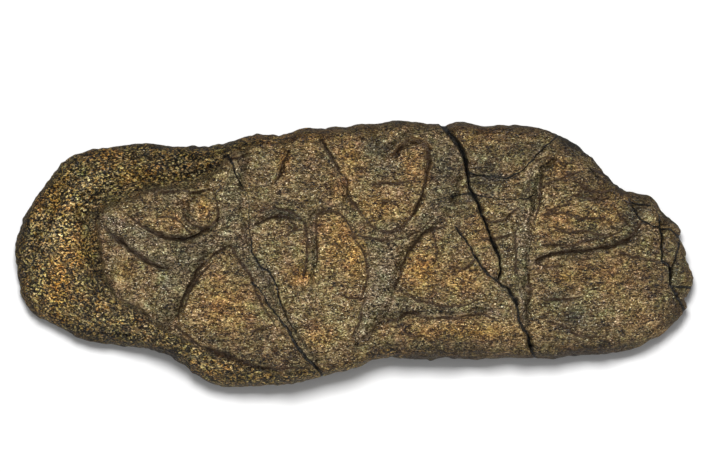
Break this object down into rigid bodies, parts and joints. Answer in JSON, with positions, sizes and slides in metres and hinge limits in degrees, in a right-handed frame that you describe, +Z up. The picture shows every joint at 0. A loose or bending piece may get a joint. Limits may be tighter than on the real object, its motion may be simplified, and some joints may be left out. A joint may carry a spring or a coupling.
{
  "type": "fossil triceratops frill section",
  "caption": "Slab of fossil frill bone lying flat, with branching blood-vessel grooves, fine cracks and worn, porous edges.",
  "frame": {"origin": "on the flat spot of the underside that the slab rests on, under the middle of the slab", "axes": "+X along the slab from its worn, porous end to its crumbly end, +Y across it towards the straighter far edge, +Z up out of the grooved face"},
  "size_m": [0.2577, 0.1012, 0.0284],
  "materials": {
    "fossil_bone": "dull, mineralised brown bone, with tan raised areas, grey grooves and darker pitted edges"
  },
  "bodies": {
    "root": {"frill_section": "fossil_bone"}
  },
  "joints": []
}
